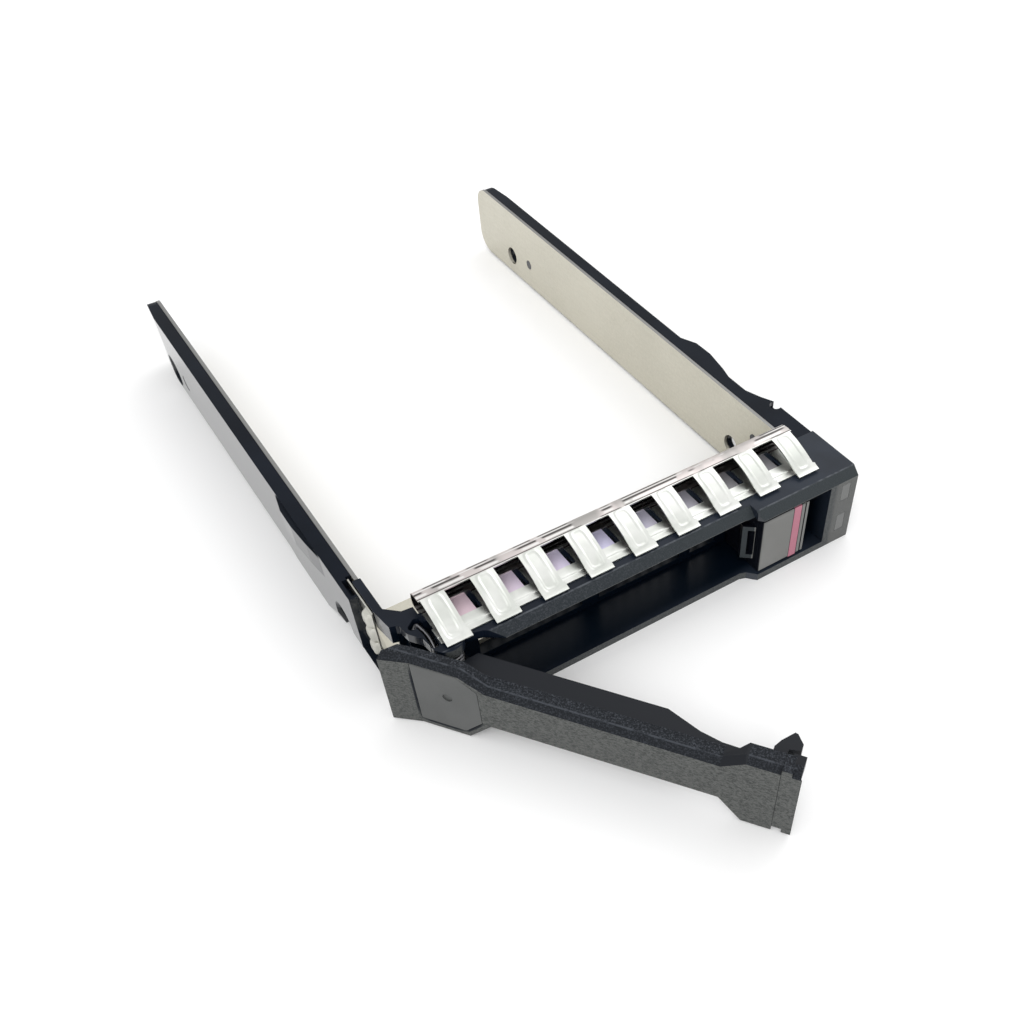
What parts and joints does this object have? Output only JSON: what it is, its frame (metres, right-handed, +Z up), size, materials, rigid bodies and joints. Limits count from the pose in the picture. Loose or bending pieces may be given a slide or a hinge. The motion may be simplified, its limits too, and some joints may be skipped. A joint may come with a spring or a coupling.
{
  "type": "hot swap drive caddy",
  "caption": "Carrier frame for a 2.5 inch drive: two plastic rails on steel liners, a shallow front bezel with spring shielding fingers, a swinging eject lever and a sliding release button.",
  "frame": {"origin": "on the underside of the bezel's floor, midway between the drive liners, level with the lever's pivot", "axes": "+X along the bezel towards the release button, +Y back into the drive bay along the rails, +Z up"},
  "size_m": [0.0802, 0.1558, 0.0174],
  "materials": {
    "dark_plastic": "fine texture",
    "smooth_plastic": "satin",
    "button_plastic": "satin",
    "stripe_plastic": "satin",
    "clear_plastic": "polished",
    "steel": "mill",
    "spring_steel": "bright"
  },
  "bodies": {
    "caddy_body": {"bezel_frame": "dark_plastic", "left_rail": "dark_plastic", "right_rail": "dark_plastic", "left_rail_stake": "dark_plastic", "right_rail_stakes": "dark_plastic", "steel_frame": "steel", "vent_screen": "steel", "cross_plate_screws": "steel", "lever_pivot_pin": "steel", "top_shield_strip": "spring_steel", "left_side_shield": "spring_steel", "right_side_shield": "spring_steel", "lever_spring": "spring_steel", "button_spring": "spring_steel", "light_pipe_upper": "clear_plastic", "light_pipe_lower": "clear_plastic"},
    "lever_body": {"lever": "dark_plastic", "lever_insert": "smooth_plastic", "lever_end_cap": "dark_plastic"},
    "button_body": {"release_button": "button_plastic", "button_stripe": "stripe_plastic"}
  },
  "joints": [
    {"name": "lever_hinge", "type": "hinge", "parent": "caddy_body", "child": "lever_body", "pos_m": [-0.0303, 0, 0.005], "axis": [0, 0, 1], "range_deg": [0, 54.5], "stiffness_Nm_per_rad": 0.008, "springref_deg": -20.05, "deforming": ["lever_spring"]},
    {"name": "button_slide", "type": "slide", "parent": "caddy_body", "child": "button_body", "axis": [1, 0, 0], "range_m": [0, 0.003], "stiffness_N_per_m": 300, "springref_m": -0.001, "deforming": ["button_spring"]}
  ]
}
